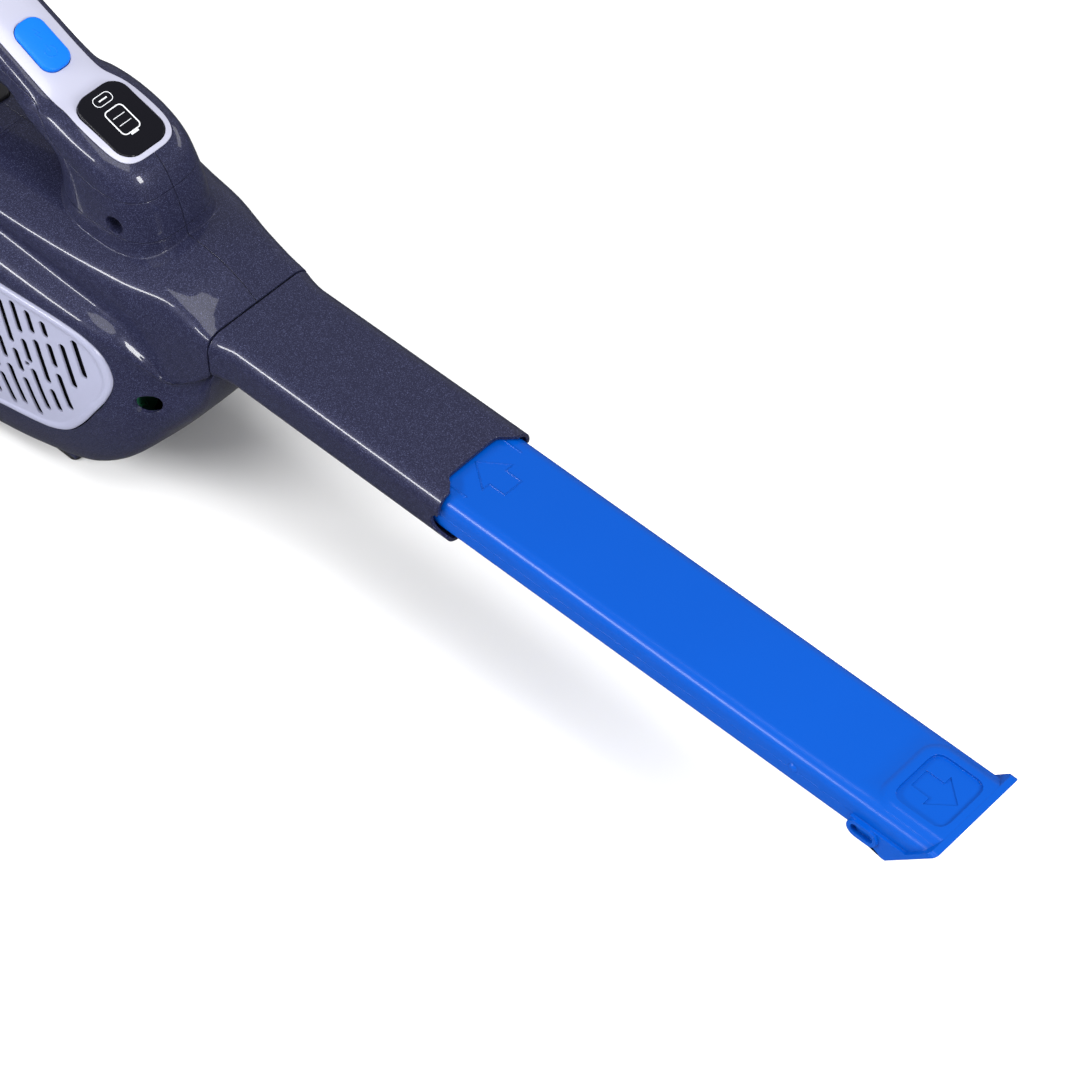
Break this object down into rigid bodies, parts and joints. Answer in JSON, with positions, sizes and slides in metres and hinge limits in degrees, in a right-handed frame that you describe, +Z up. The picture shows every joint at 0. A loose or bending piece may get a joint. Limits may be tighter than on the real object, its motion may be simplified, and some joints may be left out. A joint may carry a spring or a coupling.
{
  "type": "handheld vacuum",
  "caption": "Cordless handheld vacuum: motor pod under a straight duct, clear rear dust bowl, loop handle with button and display, and a sliding crevice tool.",
  "frame": {"origin": "on the surface that the vacuum stands on, below the middle of its overall box, with the crevice tool drawn out", "axes": "+X along the duct towards the tool's tip, +Y to the left, +Z up"},
  "size_m": [0.612, 0.1098, 0.2082],
  "materials": {
    "slate_shell": "gloss moulded plastic with fine metallic flake",
    "lilac_trim": "satin pearl plastic",
    "tool_blue": "satin moulded plastic",
    "button_blue": "satin soft-touch plastic",
    "window_black": "polished",
    "black_plastic": "fine moulded grain",
    "rubber": "matt",
    "clear_bowl": "smoke-tinted clear plastic",
    "steel": "brushed",
    "brass": "satin",
    "copper_iron": "lacquered windings on laminated iron",
    "board_green": "solder mask",
    "cell_wrap": "shrink sleeve",
    "filter_paper": "pleated filter paper",
    "lead_black": "flexible sleeve",
    "lead_red": "flexible sleeve"
  },
  "bodies": {
    "housing": {"housing_right": "slate_shell", "handle_base_right": "slate_shell", "handle_top_right": "slate_shell", "grille_right": "lilac_trim", "foot_right": "rubber", "charge_contact_right": "brass", "housing_left": "slate_shell", "handle_base_left": "slate_shell", "handle_top_left": "slate_shell", "grille_left": "lilac_trim", "foot_left": "rubber", "charge_contact_left": "brass", "lead_right": "lead_black", "lead_left": "lead_red", "nozzle": "slate_shell", "duct_liner": "black_plastic", "power_switch": "black_plastic", "motor_end_cap": "black_plastic", "fan_housing": "black_plastic", "cell_carrier": "black_plastic", "contact_block": "black_plastic", "handle_inlay": "lilac_trim", "display_window": "window_black", "control_board": "board_green", "button_spring": "steel", "motor_can": "steel", "flap_pin": "steel", "screw_column": "steel", "screw_pod_front": "steel", "screw_pod_rear": "steel", "screw_grip": "steel", "screw_rear_column": "steel", "bearing_front": "brass", "bearing_rear": "brass", "motor_mount_front": "rubber", "motor_mount_rear": "rubber", "cell_right_upper": "cell_wrap", "cell_right_lower": "cell_wrap", "cell_left_upper": "cell_wrap", "cell_left_lower": "cell_wrap", "cell_bottom": "cell_wrap"},
    "tool": {"crevice_tool": "tool_blue"},
    "rotor": {"motor_shaft": "steel", "armature": "copper_iron", "impeller": "black_plastic"},
    "button": {"power_button": "button_blue"},
    "bowl": {"dust_bowl": "clear_bowl", "bowl_seal": "rubber", "door_seal": "rubber", "hinge_pin": "steel"},
    "door": {"bowl_door": "slate_shell", "latch_pin": "steel"},
    "latch": {"door_latch": "lilac_trim"},
    "release": {"release_button": "black_plastic"},
    "flap": {"inlet_flap": "rubber"},
    "filter": {"prefilter_cup": "lilac_trim", "pleated_filter": "filter_paper", "filter_frame": "black_plastic"}
  },
  "joints": [
    {"name": "tool_slide", "type": "slide", "parent": "housing", "child": "tool", "axis": [-1, 0, 0], "range_m": [0, 0.185]},
    {"name": "rotor_spin", "type": "hinge", "parent": "housing", "child": "rotor", "pos_m": [-0.114, 0, 0.058], "axis": [1, 0, 0], "continuous": true},
    {"name": "button_press", "type": "slide", "parent": "housing", "child": "button", "axis": [-0.4226, 0, -0.9063], "range_m": [0, 0.0015], "stiffness_N_per_m": 500, "springref_m": -0.001},
    {"name": "bowl_slide", "type": "slide", "parent": "housing", "child": "bowl", "axis": [-1, 0, 0], "range_m": [0, 0.14]},
    {"name": "door_swing", "type": "hinge", "parent": "bowl", "child": "door", "pos_m": [-0.2846, 0, 0.1196], "axis": [0, 1, 0], "range_deg": [0, 85]},
    {"name": "latch_press", "type": "hinge", "parent": "door", "child": "latch", "pos_m": [-0.2856, 0, 0.019], "axis": [0, 1, 0], "range_deg": [0, 6], "stiffness_Nm_per_rad": 0.3, "springref_deg": -5.73},
    {"name": "release_press", "type": "slide", "parent": "housing", "child": "release", "axis": [0, 0, -1], "range_m": [0, 0.002], "stiffness_N_per_m": 500, "springref_m": -0.001},
    {"name": "flap_swing", "type": "hinge", "parent": "housing", "child": "flap", "pos_m": [-0.1652, 0, 0.117], "axis": [0, 1, 0], "range_deg": [0, 60]},
    {"name": "filter_pull", "type": "slide", "parent": "bowl", "child": "filter", "axis": [1, 0, 0], "range_m": [0, 0.07]}
  ],
  "couplings": [
    {"joint": "filter_pull", "follows": "bowl_slide", "ratio": 0.5}
  ]
}
